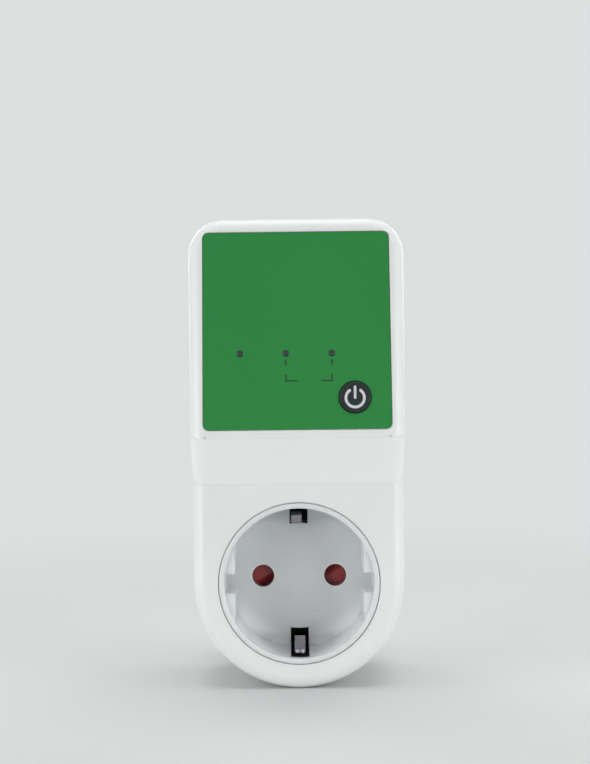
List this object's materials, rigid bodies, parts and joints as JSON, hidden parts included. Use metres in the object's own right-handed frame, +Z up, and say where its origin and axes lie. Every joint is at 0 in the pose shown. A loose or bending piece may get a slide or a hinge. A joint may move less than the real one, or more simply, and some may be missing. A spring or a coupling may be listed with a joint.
{
  "type": "plug-in voltage protection relay",
  "caption": "Plug-in voltage protection relay: white housing with green control panel, power button, earthed socket in front and earthed plug behind.",
  "frame": {"origin": "centre of the plug's contact face, on the common axis of plug and socket", "axes": "+Y out of the plug's face along its pins, +Z up towards the control deck, +X to the right as seen from the front"},
  "size_m": [0.0536, 0.0839, 0.1184],
  "materials": {
    "housing_white": "satin",
    "overlay_green": "satin print",
    "window_smoke": "smoked clear",
    "button_charcoal": "fine matt",
    "insert_white": "satin",
    "screw_steel": "zinc plated",
    "shutter_red": "moulded",
    "spring_steel": "drawn wire",
    "carrier_ivory": "moulded",
    "contact_brass": "stamped",
    "earth_nickel": "nickel plated",
    "pin_nickel": "nickel plated",
    "lead_brown": "extruded",
    "lead_blue": "extruded",
    "board_green": "solder mask",
    "relay_grey": "moulded",
    "bobbin_white": "moulded",
    "winding_copper": "enamelled wire",
    "iron": "zinc plated",
    "relay_black": "moulded",
    "switch_black": "moulded",
    "plunger_white": "moulded",
    "led_lens": "clear lens",
    "varistor_blue": "dipped",
    "film_yellow": "moulded",
    "can_blue": "sleeved",
    "chip_black": "moulded",
    "resistor_grey": "lacquered"
  },
  "bodies": {
    "housing": {"front_cover": "housing_white", "back_cover": "housing_white", "case_screws": "screw_steel", "control_overlay": "overlay_green", "light_pipe_left": "window_smoke", "light_pipe_centre": "window_smoke", "light_pipe_right": "window_smoke", "socket_insert": "insert_white", "insert_screws": "screw_steel", "shutter_spring": "spring_steel", "contact_carrier": "carrier_ivory", "carrier_screws": "screw_steel", "socket_contact_left": "contact_brass", "socket_contact_right": "contact_brass", "earth_clips": "earth_nickel", "plug_pin_left": "pin_nickel", "plug_pin_right": "pin_nickel", "pin_clamp": "carrier_ivory", "pin_clamp_screw": "screw_steel", "plug_earth_contact": "earth_nickel", "earth_spacer": "contact_brass", "earth_rivet": "iron", "neutral_bridge": "contact_brass", "lead_line_in": "lead_brown", "lead_line_out": "lead_brown", "lead_neutral": "lead_blue", "control_board": "board_green", "board_screws": "screw_steel", "relay_base": "relay_grey", "relay_bobbin": "bobbin_white", "relay_winding": "winding_copper", "relay_core": "iron", "relay_yoke": "iron", "relay_return_spring": "spring_steel", "relay_fixed_contact": "contact_brass", "relay_case": "relay_black", "tact_switch_body": "switch_black", "led_left": "led_lens", "led_centre": "led_lens", "led_right": "led_lens", "varistor": "varistor_blue", "film_capacitor": "film_yellow", "smoothing_capacitor": "can_blue", "bridge_rectifier": "chip_black", "microcontroller": "chip_black", "fusible_resistor": "resistor_grey", "chip_resistors": "chip_black"},
    "button": {"power_button": "button_charcoal"},
    "switch_plunger": {"tact_switch_plunger": "plunger_white"},
    "shutter": {"shutter": "shutter_red"},
    "armature": {"relay_armature": "iron", "relay_contact_spring": "contact_brass"}
  },
  "joints": [
    {"name": "button_press", "type": "slide", "parent": "housing", "child": "button", "axis": [0, 1, 0], "range_m": [0, 0.0003], "stiffness_N_per_m": 600, "springref_m": -0.002},
    {"name": "switch_plunger_press", "type": "slide", "parent": "housing", "child": "switch_plunger", "axis": [0, 1, 0], "range_m": [0, 0.0003]},
    {"name": "shutter_turn", "type": "hinge", "parent": "housing", "child": "shutter", "pos_m": [0, -0.0345, 0], "axis": [0, 1, 0], "range_deg": [0, 38], "stiffness_Nm_per_rad": 0.002, "springref_deg": -34.38, "deforming": ["shutter_spring"]},
    {"name": "armature_pull", "type": "hinge", "parent": "housing", "child": "armature", "pos_m": [-0.008, -0.0358, 0.049], "axis": [1, 0, 0], "range_deg": [0, 3.3], "stiffness_Nm_per_rad": 0.02, "springref_deg": -22.92}
  ],
  "couplings": [
    {"joint": "switch_plunger_press", "follows": "button_press", "ratio": 1}
  ]
}
